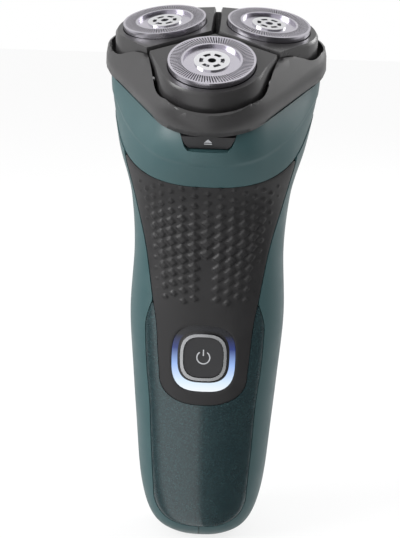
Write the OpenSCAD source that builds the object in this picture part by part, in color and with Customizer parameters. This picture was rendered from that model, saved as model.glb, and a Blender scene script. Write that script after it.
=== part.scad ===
// Rotary electric shaver: a hand-held body with a tilted head that carries three spring-held
// cutting units, each a slotted guard over a nine-blade cutter, driven by one motor through a gear train.
// +Z runs up along the handle, -Y is the front, and the origin is the middle of the small flat foot.

/* [Handle] */
// Share of the nominal handle width
handle_width = 45.2; // [42:0.2:49]
// Depth from the foot's middle line to the front face at the power button
front_depth = 16.3; // [15.5:0.1:18]
// Depth from the foot's middle line to the back of the handle
back_depth = 19.2; // [18.2:0.1:21]
// Wall of the moulded housing
wall = 1.8; // [1.5:0.1:2.2]
// Wall of the inner cover that backs the grip and the front panel
cover_t = 1.3; // [1:0.1:1.5]
// Seam between neighbouring outer panels
seam = 0.15; // [0.1:0.05:0.3]
// Height of the grip's rounded lower end
grip_end_z = 45.3; // [43:0.1:47]
// Height of the front panel's lower edge
panel_end_z = 5.6; // [5:0.1:7]

/* [Head] */
// Height of the head's centre, the middle of the plane through the three guards
head_z = 150; // [148:0.5:156]
// Forward offset of the head's centre
head_y = -5; // [-6:0.1:-4]
// Forward tilt of the head
head_tilt = 22; // [20:0.5:24]
// Radius from the head's centre to each guard's centre
guard_ring_r = 17.1; // [17:0.05:17.6]
// Outward tilt of each guard
guard_tilt = 7; // [6:0.5:8]
// How far the head's lower edge lies under the guards
rim_drop = 14.4; // [14:0.1:15.5]
// Channel between neighbouring cutting units
channel = 1.5; // [1.3:0.1:1.8]

/* [Cutting units] */
// Outer diameter of the guard
guard_d = 23.5; // [22.5:0.1:23.8]
// Height of the guard's wall
guard_h = 4.6; // [4.2:0.1:5.2]
// Thickness of the guard's slotted top
guard_t = 0.35; // [0.25:0.05:0.5]
// How far the guard stands out of its holder
guard_proud = 1.6; // [1.4:0.1:1.8]
// Inner radius of the slotted ring
slot_in_r = 8.2; // [8:0.1:8.6]
// Outer radius of the slotted ring
slot_out_r = 11.15; // [10.8:0.05:11.25]
// Number of slots in each guard
slot_count = 90; // [60:3:96]
// Width of one slot
slot_w = 0.34; // [0.25:0.01:0.4]
// Lean of each slot from the radius
slot_lean = 10; // [0:1:20]
// Number of blades on each cutter
blade_count = 9; // [6:1:12]
// Height of one blade
blade_h = 3; // [2.4:0.1:3.2]
// How far a guard sinks when pressed
guard_travel = 0.8; // [0.6:0.1:1]

/* [Drive] */
// Gear module
gear_module = 0.5; // [0.5:0.1:0.5]
// Teeth of the motor's central wheel
sun_teeth = 27; // [25:1:29]
// Teeth of each cutter's wheel
gear_teeth = 38; // [36:1:40]
// Thickness of the wheels
gear_t = 2.2; // [1.8:0.1:2.4]
// Radius of the drive spindles
spindle_r = 1.5; // [1.3:0.05:1.7]
// Radial clearance of a turning shaft in its bore
run_fit = 0.05; // [0.03:0.01:0.08]

/* [Controls] */
// Width of the power button's ring
ring_w = 13.3; // [12.6:0.1:14]
// Height of the power button's ring
ring_h = 13.9; // [13.2:0.1:14.4]
// Height of the power button's centre
button_z = 59.6; // [58:0.1:61]
// Travel of the power button
button_travel = 0.7; // [0.4:0.1:0.9]
// Width of the head release button's upper edge
release_w = 14.4; // [13:0.1:15]
// Height of the head release button
release_h = 3.4; // [3:0.1:3.6]
// Travel of the head release button
release_travel = 1.2; // [0.8:0.1:1.4]

/* [Trimmer] */
// Width of the pop-up trimmer on the back
trimmer_w = 26; // [24:0.5:27]
// Height of the trimmer's foot on the back
trimmer_z = 82; // [80:0.5:84]
// Height of the trimmer itself
trimmer_h = 30; // [28:0.5:31]
// Pitch of the trimmer's teeth
tooth_pitch = 1.2; // [1:0.05:1.5]

/* [Power] */
// Diameter of the battery cell
cell_d = 14; // [13:0.1:14.5]
// Length of the battery cell
cell_l = 49; // [45:0.5:50]
// Width of the charging inlet
inlet_w = 7.6; // [7:0.1:8]
// Depth of the charging inlet
inlet_t = 4.8; // [4.6:0.1:5.2]

/* [Hidden] */
$fn = 48;
past = 1;                 // how far a cutting shape runs past what it cuts
free = 0.35;              // gap between neighbouring pieces of different bodies
squareness = 0.8;         // exponent that makes the handle's sections squarer than an ellipse
around = 40;              // points around one section of the housing
half_w = handle_width / 2;

// ---- the housing's outer form: sections along the handle, tilting into the head's plane ----
rim_flat = 24.7;          // head's lower edge: from the centre to the middle of a side
rim_apex = 32.2;          // head's lower edge: from the centre to a rounded corner
collar_gap = 0.4;         // gap between the head and the collar it sits on
rim_y = head_y + (rim_drop + collar_gap) * sin(head_tilt);
rim_z = head_z - (rim_drop + collar_gap) * cos(head_tilt);
// each section: centre y, centre z, tilt, half-width, front depth, back depth, share of the head's triangle
SECTIONS = [
    [0, 0, 0, 0.27 * half_w, 0.34 * front_depth, 0.34 * back_depth, 0],
    [0, 1.5, 0, 0.44 * half_w, 0.52 * front_depth, 0.50 * back_depth, 0],
    [0, 4, 0, 0.60 * half_w, 0.69 * front_depth, 0.67 * back_depth, 0],
    [0, 8, 0, 0.71 * half_w, 0.81 * front_depth, 0.79 * back_depth, 0],
    [0, 14, 0, 0.79 * half_w, 0.89 * front_depth, 0.87 * back_depth, 0],
    [0, 22, 0, 0.845 * half_w, 0.94 * front_depth, 0.92 * back_depth, 0],
    [0, 36, 0, 0.895 * half_w, 0.975 * front_depth, 0.96 * back_depth, 0],
    [0, 52, 0, 0.95 * half_w, front_depth, 0.99 * back_depth, 0],
    [0, 70, 0, half_w, 1.01 * front_depth, back_depth, 0],
    [0, 89, 0, 0.96 * half_w, 0.985 * front_depth, back_depth, 0],
    [1, head_z - 47, 8, half_w, front_depth + 2.1, back_depth - 0.6, 0],
    [1, head_z - 38, 16, half_w + 1.6, front_depth + 4.9, back_depth + 0.3, 0],
    [head_y + 6, head_z - 29, head_tilt - 1, half_w + 4, front_depth + 9.1, back_depth + 1, 0.15],
    [head_y + 4.8, head_z - 21, head_tilt, half_w + 5.7, front_depth + 11.6, back_depth + 2.5, 0.6],
    [rim_y, rim_z, head_tilt, half_w + 7.4, rim_apex, rim_flat, 1]];
last_section = len(SECTIONS) - 1;
// exact curve through four neighbouring values
function through(a, b, c, d, t) = 0.5 * (2 * b + (c - a) * t + (2 * a - 5 * b + 4 * c - d) * t * t
    + (3 * b - a - 3 * c + d) * t * t * t);
function along(list, s) = let(i = min(floor(s), len(list) - 2), t = s - i, n = len(list) - 1)
    through(list[max(i - 1, 0)], list[i], list[i + 1], list[min(i + 2, n)], t);
function signed_power(v) = sign(v) * pow(abs(v), squareness);
// radius of a triangle with round corners: corner circles of radius r on a ring of radius c
function tri_radius(a, c, r) = let(d = abs((a + 510) % 120 - 60), edge = atan2(r * sin(60), c + r / 2))
    d <= edge ? c * cos(d) + sqrt(r * r - pow(c * sin(d), 2)) : (c / 2 + r) / cos(60 - d);
function triangle_r(a, flat, apex) = tri_radius(a, 2 * (apex - flat), 2 * flat - apex);
// one section of the housing, drawn in by inset
function section(s, inset) = let(q = along(SECTIONS, s)) [for (k = [0 : around - 1])
    let(a = 360 * k / around,
        r = triangle_r(a, rim_flat, rim_apex) - inset,
        depth = (sin(a) < 0 ? q[4] : q[5]) - inset,
        x = (1 - q[6]) * (q[3] - inset) * signed_power(cos(a)) + q[6] * r * cos(a),
        y = (1 - q[6]) * depth * signed_power(sin(a)) + q[6] * r * sin(a))
    [x, q[0] + y * cos(q[2]), q[1] + y * sin(q[2])]];
function raised(ring, h) = [for (p = ring) [p[0], p[1] - h * sin(head_tilt), p[2] + h * cos(head_tilt)]];
// closed solid through a stack of rings
module loft(rings) {
    n = len(rings[0]);
    top = (len(rings) - 1) * n;
    polyhedron([for (r = rings) each r], concat(
        [[for (k = [0 : n - 1]) k], [for (k = [n - 1 : -1 : 0]) top + k]],
        [for (i = [0 : len(rings) - 2], k = [0 : n - 1]) let(a = i * n, b = (k + 1) % n)
            each [[a + k, a + n + k, a + n + b], [a + k, a + n + b, a + b]]]));
}
// the housing's form between two sections, in half steps so that all pieces share the same rings
module form(inset, from, to, up = 0) {
    rings = [for (s = [from : 0.5 : to]) section(s, inset)];
    loft(up > 0 ? concat(rings, [raised(rings[len(rings) - 1], up)]) : rings);
}

// ---- outlines on the front ----
collar_slope = 38.9;      // slope of the collar's lower edge at the front
collar_front_y = head_y - 15.5;
collar_front_z = head_z - 39.6;
collar_back_drop = 24;    // collar's lower edge at the back, under the guards
// where the collar's lower edge turns from the front's slope to the head's plane, in the head's frame
collar_turn_y = (collar_front_y - head_y) * cos(head_tilt) + (collar_front_z - head_z) * sin(head_tilt)
    + ((collar_front_y - head_y) * sin(head_tilt) - (collar_front_z - head_z) * cos(head_tilt) - collar_back_drop)
    / tan(collar_slope - head_tilt);
GRIP = [[24.6, 126], [23.8, 117], [22.3, 110], [20.6, 103], [17.5, 91], [15, 76], [13.8, 69], [13.1, 60], [12.6, 54]];
PANEL = [[14.9, 75.8], [16.8, 69.5], [16.9, 64], [16.4, 55], [15.3, 44], [14.65, 31], [13.8, 17.5]];
function smooth(list, n) = [for (i = [0 : n * (len(list) - 1)]) along(list, i / n)];
// lower end of an outline: a quarter of a superellipse from (w, z) to (0, end)
function round_end(w, z, end, power, n) = [for (i = [1 : n]) let(a = 90 * i / n)
    [w * pow(cos(a), 2 / power), z - (z - end) * pow(sin(a), 2 / power)]];
function half_outline(list, end, power) = let(p = list[len(list) - 1])
    concat(smooth(list, 3), round_end(p[0], p[1], end, power, 9));
// grow moves the outline outwards
module outline(list, end, power, grow) {
    half = [for (p = half_outline(list, end, power)) [p[0] + (p[0] > 0.01 ? grow : 0), p[1] - (p[1] < end + 3 ? grow : 0)]];
    n = len(half);
    polygon(concat(half, [for (i = [n - 2 : -1 : 0]) [-half[i][0], half[i][1]]]));
}
module grip_outline(grow = 0) outline(GRIP, grip_end_z, 2.3, grow);
module panel_outline(grow = 0) {
    outline(PANEL, panel_end_z, 2.5, grow);
    grip_outline(grow);
}
// extrudes an outline in x and z from the middle plane forwards
module forwards(from = 0, to = 40) translate([0, -from, 0]) rotate([90, 0, 0]) linear_extrude(to - from) children();
module collar_zone(lower = 0) {
    translate([0, collar_front_y, collar_front_z - lower]) rotate([collar_slope, 0, 0])
        translate([-50, -50, 0]) cube([100, 120, 90]);
    on_head() translate([-50, collar_turn_y, -collar_back_drop - lower]) cube([100, 90, 60]);
}
// squircle polygon centred on the origin
module squircle(w, h, power = 3, points = 40) polygon([for (i = [0 : points - 1]) let(a = 360 * i / points)
    [w / 2 * sign(cos(a)) * pow(abs(cos(a)), 2 / power), h / 2 * sign(sin(a)) * pow(abs(sin(a)), 2 / power)]]);

// ---- placing ----
module on_head() translate([0, head_y, head_z]) rotate([head_tilt, 0, 0]) children();
module toward(i) rotate([0, 0, 120 * i - 210]) children();
module on_unit(i) on_head() toward(i) translate([guard_ring_r, 0, 0]) rotate([0, guard_tilt, 0]) children();
module tube(r, inner, z, h) translate([0, 0, z]) difference() {
    cylinder(r = r, h = h);
    translate([0, 0, -past]) cylinder(r = inner, h = h + 2 * past);
}

// ---- housing ----
well_w = ring_w + 4.9;
well_h = ring_h + 5.8;
well_z = button_z - 0.5;
face_y = -front_depth;    // front face at the power button
trimmer_t = 4.5;          // depth of the trimmer
trimmer_y = back_depth - trimmer_t;
pivot_r = 3.2;            // round foot of the trimmer about its hinge
pivot_y = back_depth - pivot_r - 0.9;
pivot_z = trimmer_z + pivot_r;
pocket_wall = 1;
slide_w = 11;
slide_h = 11;
slide_z = trimmer_z - 15;
slide_travel = 4;
stem_w = 5;
stem_h = 3;
hinge_y = rim_flat + 0.6;  // head hinge, in the head's frame
hinge_drop = rim_drop + 0.2;
hinge_r = 0.9;
knuckle_r = 1.9;
knuckle_w = 5.2;          // half-width of the collar's middle knuckle
knuckle_out = 11;         // outer end of the head's knuckles

inlet_depth = 9;
pin_r = 0.8;
pin_l = trimmer_w + 2 * free + 1.6 * pocket_wall;
module trimmer_axle() translate([-pin_l / 2, pivot_y, pivot_z]) rotate([0, 90, 0]) cylinder(r = pin_r, h = pin_l);
// room for the folded trimmer, grown by a wall, up to a depth
module pocket(grow, to) {
    w = trimmer_w + 2 * free + 2 * grow;
    translate([-w / 2, trimmer_y - free - grow, trimmer_z - free - grow])
        cube([w, to - trimmer_y + free + grow, trimmer_h + 2 * free + 2 * grow]);
    translate([-w / 2, pivot_y - pivot_r - free - grow, trimmer_z - free - grow])
        cube([w, to - pivot_y + pivot_r + free + grow, 2 * pivot_r + 2 * free + 2 * grow]);
}
module rear_housing() color("#3d5d60") difference() {
    union() {
        difference() {
            form(0, 0, 13);
            form(wall, 2, 13, 3);
        }
        pocket(pocket_wall, trimmer_y);
        translate([0, 0, 2]) linear_extrude(inlet_depth - 2) squircle(inlet_w + 3, inlet_t + 3);
    }
    collar_zone();
    forwards() panel_outline(seam);
    pocket(0, 40);
    translate([-stem_w / 2 - free, 8, slide_z + slide_h - stem_h - 1 - slide_travel - free])
        cube([stem_w + 2 * free, 40, stem_h + slide_travel + 2 * free]);
    translate([0, 0, -past]) linear_extrude(inlet_depth + past) squircle(inlet_w, inlet_t);
    trimmer_axle();
}

module well(grow = 0, from = 8) translate([0, 0, well_z]) forwards(from) squircle(well_w + 2 * grow, well_h + 2 * grow);
module front_cover() color("#17191b") difference() {
    form(wall, 2, 12.5);
    form(wall + cover_t, 1.5, 13);
    translate([-50, 0, -past]) cube([100, 100, 200]);
    difference() {
        forwards(-past, 60) square([200, 400], center = true);
        forwards(-2 * past, 70) panel_outline(3);
    }
    collar_zone(seam);
    well();
}
module grip_panel() color("#2b2b2d") difference() {
    intersection() {
        form(0, 6, 13);
        forwards() grip_outline();
    }
    form(wall, 5.5, 13);
    collar_zone(seam);
    well(seam);
}
module front_panel() color("#1f3a40") difference() {
    intersection() {
        form(0, 1.5, 8.5);
        forwards() difference() {
            panel_outline();
            grip_outline(seam);
        }
    }
    form(wall, 2, 9);
    well(seam);
}
bezel_w = ring_w + 1.6;
bezel_h = ring_h + 1.6;
module light_guide() color("#dfe8ff") difference() {
    translate([0, 0, well_z]) forwards(-face_y - 3.4, -face_y - 0.75) squircle(well_w, well_h);
    translate([0, 0, button_z]) forwards(0) squircle(bezel_w, bezel_h);
}
module button_bezel() color("#0c0c0d") difference() {
    translate([0, 0, button_z]) forwards(-face_y - 3.4, -face_y - 1) squircle(bezel_w, bezel_h);
    translate([0, 0, button_z]) forwards(0) squircle(ring_w, ring_h);
}
rim = 0.85;               // width of the bright ring
module button_ring() color("#d5d8da") difference() {
    translate([0, 0, button_z]) forwards(-face_y - 3.4, -face_y - 0.1) squircle(ring_w, ring_h);
    translate([0, 0, button_z]) forwards(0) squircle(ring_w - 2 * rim, ring_h - 2 * rim);
}
module power_button() color("#141618") translate([0, 0, button_z]) {
    forwards(-face_y - 3.2, -face_y - 0.35) squircle(ring_w - 2 * rim - free, ring_h - 2 * rim - free);
    forwards(-face_y - 4.2, -face_y - 3.2) circle(r = 1.6);
}
// collar: the ring that the head closes on
module knuckle(from, to, r) translate([from, hinge_y, -hinge_drop]) rotate([0, 90, 0]) cylinder(r = r, h = to - from);
release_t = 2.2;          // depth of the release button
release_y = -32;          // release button's face, in the head's frame
release_drop = 16.9;      // middle of the release button, under the guards
module release_shape(grow) polygon([
    [-release_w / 2 - grow, release_h / 2 + grow], [-release_w / 2 + 1.1 - grow, -release_h / 2 + 1 - grow],
    [-release_w / 2 + 2.1 - grow, -release_h / 2 - grow], [release_w / 2 - 2.1 + grow, -release_h / 2 - grow],
    [release_w / 2 - 1.1 + grow, -release_h / 2 + 1 - grow], [release_w / 2 + grow, release_h / 2 + grow]]);
module release_prism(grow, from, to) on_head() translate([0, 0, -release_drop])
    forwards(-from, -to) release_shape(grow);
module collar() color("#3a565a") {
    difference() {
        intersection() {
            form(0, 10.5, 14);
            collar_zone();
        }
        form(wall, 10, 14, 3);
        release_prism(free, -20, -40);
        on_head() for (side = [-1, 1]) translate([side * (knuckle_w + knuckle_out) / 2, 0, 0])
            knuckle(-(knuckle_out - knuckle_w) / 2 - free, (knuckle_out - knuckle_w) / 2 + free, knuckle_r + free);
        on_head() knuckle(-knuckle_out, knuckle_out, hinge_r);
    }
    on_head() difference() {
        union() {
            knuckle(-knuckle_w, knuckle_w, knuckle_r);
            translate([-knuckle_w, rim_flat - wall, -hinge_drop - knuckle_r - 2])
                cube([2 * knuckle_w, wall + 0.4, knuckle_r + 2]);
        }
        knuckle(-knuckle_out, knuckle_out, hinge_r);
    }
}
module release_button() color("#111213") union() {
    release_prism(0, release_y + release_t, release_y);
    release_prism(-0.8, release_y + release_t + 0.6, release_y + release_t - past);
}
module hinge_pin() color("#b9bcc0") on_head() knuckle(-knuckle_out + 0.6, knuckle_out - 0.6, hinge_r);

// ---- drive ----
spindle_ring_r = gear_module * (sun_teeth + gear_teeth) / 2;
deck_top = rim_drop + 1.2;           // depths under the guards, in the head's frame
deck_t = 1.4;
gears_top = deck_top + deck_t + 0.8;
plate_top = gears_top + gear_t + 0.4;
plate_t = 1.6;
cup_h = 3.8;
cup_end = plate_top + plate_t + 0.3 + cup_h;
shaft_r = 2;
module slab(top, t) on_head() translate([-60, -60, -top - t]) cube([120, 120, t]);
module spindle_bores(r, from, to) on_head() for (i = [1 : 3]) toward(i)
    translate([spindle_ring_r, 0, -to]) cylinder(r = r, h = to - from);
module deck() color("#1a1a1c") difference() {
    union() {
        intersection() {
            form(wall, 12, 14, 1);
            slab(deck_top, deck_t);
        }
        on_head() for (i = [1 : 3]) toward(i) translate([spindle_ring_r, 0, -deck_top - 0.8]) cylinder(r = 3.4, h = 1.9);
    }
    on_head() translate([-tongue_w / 2 - free, -guard_ring_r - floor_hole_r - tongue_t - 1, -deck_top - deck_t - past])
        cube([tongue_w + 2 * free, tongue_t + 2, deck_t + 2 * past]);
    release_prism(free, release_y + release_t + 1 + release_travel + free, -40);
    spindle_bores(spindle_r + run_fit, 0, 40);
    on_head() for (i = [1 : 3]) toward(i) rotate([0, 0, 60]) translate([screw_ring_r, 0, -deck_top - deck_t - past])
        cylinder(r = screw_r, h = deck_t + 2 * past);
}
screw_ring_r = 15;
screw_r = 1;
module deck_screws() color("#8d9094") on_head() for (i = [1 : 3]) toward(i) rotate([0, 0, 60])
    translate([screw_ring_r, 0, 0]) {
        translate([0, 0, -plate_top - 0.5]) cylinder(r = screw_r, h = plate_top + 0.5 - deck_top);
        translate([0, 0, -deck_top]) cylinder(r = 1.9, h = 0.9);
    }
module gear_plate() color("#d8d4c4") difference() {
    union() {
        intersection() {
            form(wall, 10.5, 14);
            slab(plate_top, plate_t);
        }
        on_head() for (i = [1 : 3]) toward(i) rotate([0, 0, 60]) translate([screw_ring_r, 0, -plate_top - plate_t])
            cylinder(r = 2.6, h = plate_top + plate_t - deck_top - deck_t);
    }
    spindle_bores(spindle_r + run_fit, 0, 40);
    on_head() translate([0, 0, -40]) cylinder(r = shaft_r + run_fit, h = 40);
    on_head() for (i = [1 : 3]) toward(i) rotate([0, 0, 60]) translate([screw_ring_r, 0, -plate_top - 0.5])
        cylinder(r = screw_r, h = 30);
}
// spur wheel with straight-flanked teeth; a tooth's middle lies on the +x axis
module wheel(teeth, t, bore) linear_extrude(t) difference() {
    pitch_r = gear_module * teeth / 2;
    tip_r = pitch_r + gear_module * 0.9;
    root_r = pitch_r - gear_module * 1.2;
    step = 360 / teeth;
    polygon([for (k = [0 : teeth - 1]) each [
        root_r * [cos((k - 0.36) * step), sin((k - 0.36) * step)],
        tip_r * [cos((k - 0.11) * step), sin((k - 0.11) * step)],
        tip_r * [cos((k + 0.11) * step), sin((k + 0.11) * step)],
        root_r * [cos((k + 0.36) * step), sin((k + 0.36) * step)]]]);
    circle(r = bore);
}
// the motor's own place: upright, under the middle of the gear train
ball_drop = cup_end - 1.4;
ball_y = head_y + ball_drop * sin(head_tilt);
ball_z = head_z - ball_drop * cos(head_tilt);
module sun_wheel() color("#e9e6da") on_head() {
    translate([0, 0, -gears_top - gear_t]) wheel(sun_teeth, gear_t, shaft_r);
    translate([0, 0, -cup_end + cup_h]) cylinder(r = shaft_r, h = cup_end - cup_h - gears_top + 0.6);
    translate([0, 0, -cup_end]) difference() {
        cylinder(r = 3.5, h = cup_h);
        translate([0, 0, -past]) cylinder(r = 2.7, h = past + 3.2, $fn = 6);
    }
}
module drive_gear(i) color("#e9e6da") on_head() toward(i) translate([spindle_ring_r, 0, -gears_top - gear_t])
    rotate([0, 0, gear_phase(i)]) wheel(gear_teeth, gear_t, spindle_r);
// turns each wheel so that a gap faces a tooth of the central wheel
function gear_phase(i) = let(dir = 120 * i - 210, sun_off = dir - round(dir * sun_teeth / 360) * 360 / sun_teeth)
    180 + (0.5 * 360 / gear_teeth) + sun_off * sun_teeth / gear_teeth;
spindle_tip = 5.9;
lug = [1.6, 3.2, 2.8];
module spindle(i) color("#c9ccd0") on_head() toward(i) translate([spindle_ring_r, 0, 0]) {
    translate([0, 0, -plate_top - plate_t + 0.2]) cylinder(r = spindle_r, h = plate_top + plate_t - 0.2 - spindle_tip - lug[2]);
    translate([-lug[0] / 2, -lug[1] / 2, -spindle_tip - lug[2]]) cube(lug);
}
motor_w = 20.4;
motor_t = 15.4;
motor_h = 26;
motor_top = ball_z - 6.5;
module motor_can() color("#b4b7ba") translate([0, ball_y, motor_top - motor_h]) difference() {
    union() {
        intersection() {
            cylinder(r = motor_w / 2, h = motor_h);
            translate([-motor_w, -motor_t / 2, 0]) cube([2 * motor_w, motor_t, motor_h]);
        }
        translate([0, 0, motor_h]) cylinder(r = 3, h = 1.4);
        translate([0, 0, -1.6]) cylinder(r = 3, h = 1.6);
    }
    translate([0, 0, -5]) cylinder(r = 1 + run_fit, h = motor_h + 10);
}
module motor_rotor() color("#9fa3a8") translate([0, ball_y, motor_top - motor_h - 2.2]) {
    cylinder(r = 1, h = motor_h + 2.2 + 6);
    translate([0, 0, motor_h + 2.2 + 6.5]) intersection() {
        sphere(r = 2.2);
        translate([0, 0, -0.9]) cylinder(r = 2.15, h = 1.8, $fn = 6);
    }
}
module motor_clamp() color("#17191b") difference() {
    translate([-half_w + 2.6, ball_y - motor_t / 2 - 1.4, motor_top - 3]) cube([2 * half_w - 5.2, motor_t + 1.4, 4]);
    translate([-50, ball_y + 3, 0]) cube([100, 50, 200]);
    translate([0, ball_y, motor_top - 10]) intersection() {
        cylinder(r = motor_w / 2, h = 10);
        translate([-motor_w, -motor_t / 2, 0]) cube([2 * motor_w, motor_t, 10]);
    }
    translate([0, ball_y, motor_top - past]) cylinder(r = 3.6, h = 9);
}

// ---- power ----
board_y = -7.5;
board_t = 1.4;
board_z = 16;
board_w = 24;
cell_y = 4;
cell_z = 17;
module circuit_board() color("#1f5a34") difference() {
    translate([-board_w / 2, board_y, board_z]) cube([board_w, board_t, 68]);
    for (x = [-9.5, 9.5], z = [board_z + 2.5, board_z + 65.5]) translate([x, board_y + past * 3, z])
        rotate([90, 0, 0]) cylinder(r = 1, h = 6);
}
module power_switch() color("#2a2a2c") translate([-3, board_y - 3.5, button_z - 3]) cube([6, 3.5, 6]);
module battery_cell() color("#3f6fa8") translate([0, cell_y, cell_z]) {
    cylinder(d = cell_d, h = cell_l);
    translate([0, 0, cell_l]) cylinder(d = 5, h = 0.9);
}
module cell_cradle() color("#17191b") difference() {
    for (z = [cell_z + 3, cell_z + cell_l - 9]) translate([-cell_d / 2 - 2, board_y + board_t, z])
        cube([cell_d + 4, cell_y - board_y - board_t + 3, 6]);
    translate([0, cell_y, 0]) cylinder(d = cell_d, h = 200);
}
module charging_socket() color("#101011") translate([0, 0, inlet_depth]) linear_extrude(3) squircle(inlet_w + 3, inlet_t + 3);
module contact_pins() color("#cfa74a") for (x = [-2, 2]) translate([x, 0, inlet_depth - 4.4])
    cylinder(r = 0.7, h = 4.4);

// ---- head ----
floor_hole_r = 9.5;
tongue_w = 10;            // tongue that the release button frees
tongue_t = 1.2;
tongue_h = 3;
frame_gap = 0.7;          // room around the cutting units
crease_drop = rim_drop - 1.7;
floor_top = crease_drop + 0.1;
pin_drop = 7;             // tilt pins under the guards
pin_in = 13.3;
pin_out = 16.6;
tilt_pin_r = 1;
// each ring of the frame: depth, middle of a side, rounded corner
FRAME = [[rim_drop, 0, 0], [crease_drop, 1.3, 1.5], [crease_drop - 3, 0.9, 1.45], [8, 0, 1.3],
    [5, -1.6, 0.4], [2.3, -3.3, -1], [1.4, -3.9, -1.6]];
module frame_form() loft([for (r = FRAME) [for (k = [0 : 71]) let(a = 5 * k,
    q = triangle_r(a, rim_flat + r[1], rim_apex + r[2])) [q * cos(a), q * sin(a), -r[0]]]]);
corner_r = 1.2;
corner_ring = 19;         // place of a unit's outer corners on the channel
// outline of a unit at a depth under its guard, cut off at the channels, towards which the unit leans
module shield(r, depth, inset = 0) {
    ring = guard_ring_r - depth * sin(guard_tilt);
    half = channel / 2 + inset / 2;
    intersection() {
        hull() {
            circle(r = r - inset, $fn = 64);
            for (side = [-1, 1]) translate([corner_ring / 2 - ring, side * corner_ring * sin(60)])
                circle(r = corner_r, $fn = 16);
            translate([-ring, 0]) circle(r = corner_r, $fn = 16);
        }
        translate([-ring, 0]) rotate([0, 0, 60]) translate([-20, -80 - half]) square([100, 80]);
        translate([-ring, 0]) rotate([0, 0, -60]) translate([-20, half]) square([100, 80]);
    }
}
skirt_r = guard_d / 2 + 3.2;
ridge_r = guard_d / 2 + 2.5;
holder_end = 8.7;
// the room for the three units, as one outline
module frame_opening(grow = 0) for (i = [1 : 3]) toward(i) translate([guard_ring_r, 0]) hull() {
    circle(r = skirt_r + frame_gap + grow, $fn = 64);
    for (side = [-1, 1]) translate([corner_ring / 2 - guard_ring_r, side * corner_ring * sin(60)])
        circle(r = corner_r + 0.2 + grow, $fn = 18);
    translate([-guard_ring_r, 0]) circle(r = 2, $fn = 18);
}
module head_frame() color("#343537") on_head() difference() {
    union() {
        difference() {
            difference() {
                frame_form();
                translate([0, 0, -rim_drop - past]) linear_extrude(40) frame_opening();
            }
            rotate_extrude() polygon([[corner_ring + 1, -2.2], [40, -2.2 - 0.45 * (39 - corner_ring)],
                [40, 5], [0, 5], [0, -2.2]]);
        }
        translate([0, 0, -rim_drop]) linear_extrude(rim_drop - floor_top) difference() {
            frame_opening(0.8);
            for (i = [1 : 3]) toward(i) translate([guard_ring_r, 0]) circle(r = floor_hole_r);
        }
        translate([-tongue_w / 2, -guard_ring_r - floor_hole_r - tongue_t, -rim_drop - tongue_h])
            cube([tongue_w, tongue_t + 0.4, tongue_h + 0.6]);
        for (side = [-1, 1]) translate([side * (knuckle_w + knuckle_out) / 2, 0, 0]) {
            w = (knuckle_out - knuckle_w) / 2 - free;
            knuckle(-w, w, knuckle_r);
            translate([-w, rim_flat - 1, -hinge_drop + 0.2]) cube([2 * w, 2.2, knuckle_r]);
        }
    }
    knuckle(-knuckle_w - free, knuckle_w + free, knuckle_r + free);
    knuckle(-knuckle_out, knuckle_out, hinge_r + run_fit);
    for (i = [1 : 3]) toward(i) tilt_axis() cylinder(r = tilt_pin_r, h = 2 * pin_out, center = true);
}
module tilt_axis() translate([guard_ring_r, 0, 0]) rotate([0, guard_tilt, 0]) translate([0, 0, -pin_drop])
    rotate([90, 0, 0]) children();
module tilt_pins() color("#b9bcc0") on_head() for (i = [1 : 3], side = [-1, 1]) toward(i) tilt_axis()
    translate([0, 0, side * (pin_in + pin_out) / 2]) cylinder(r = tilt_pin_r, h = pin_out - pin_in, center = true);
shoulder = guard_h - 0.65;
flange_r = guard_d / 2 + 0.45;
cavity_r = flange_r + 0.3;
module holder(i) color("#232426") on_unit(i) difference() {
    hull() {
        translate([0, 0, -guard_proud - 0.05]) linear_extrude(0.05) shield(ridge_r, guard_proud, 0.7);
        translate([0, 0, -guard_proud - 0.9]) linear_extrude(0.05) shield(ridge_r, guard_proud + 0.9);
        translate([0, 0, -holder_end]) linear_extrude(0.05) shield(skirt_r, holder_end);
    }
    translate([0, 0, -holder_end]) cylinder(r = guard_d / 2 + 0.25, h = 20);
    translate([0, 0, -holder_end - past]) cylinder(r = cavity_r, h = holder_end + past - shoulder);
    translate([0, 0, -pin_drop]) rotate([90, 0, 0]) cylinder(r = tilt_pin_r + run_fit, h = 60, center = true);
}
module retainer(i) color("#3a3b3e") on_unit(i) difference() {
    tube(cavity_r, cavity_r - 1.5, -holder_end + 0.2, 0.9);
    translate([0, 0, -pin_drop]) rotate([90, 0, 0]) cylinder(r = tilt_pin_r + 0.3, h = 60, center = true);
}

// ---- cutting pieces ----
wall_t = 0.45;
disc_r = 4.8;             // bright disc in the middle of the guard
ring_step = 7.6;          // edge of the recessed middle
module guard(i) color("#c4c3c9") on_unit(i) {
    translate([0, 0, -guard_t]) linear_extrude(guard_t) difference() {
        circle(d = guard_d);
        circle(r = ring_step);
        for (k = [0 : slot_count - 1]) rotate([0, 0, k * 360 / slot_count]) translate([(slot_in_r + slot_out_r) / 2, 0])
            rotate([0, 0, slot_lean]) square([(slot_out_r - slot_in_r) / cos(slot_lean), slot_w], center = true);
    }
    tube(guard_d / 2, guard_d / 2 - wall_t, -guard_h, guard_h - guard_t);
    tube(flange_r, guard_d / 2 - wall_t, -guard_h, 0.6);
    rotate_extrude() polygon([[disc_r, -0.75], [ring_step, -0.75], [ring_step, 0], [ring_step + 0.4, 0],
        [ring_step + 0.4, -0.35], [ring_step + 0.3, -0.35], [ring_step + 0.3, -1.1], [disc_r, -1.1]]);
}
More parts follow.
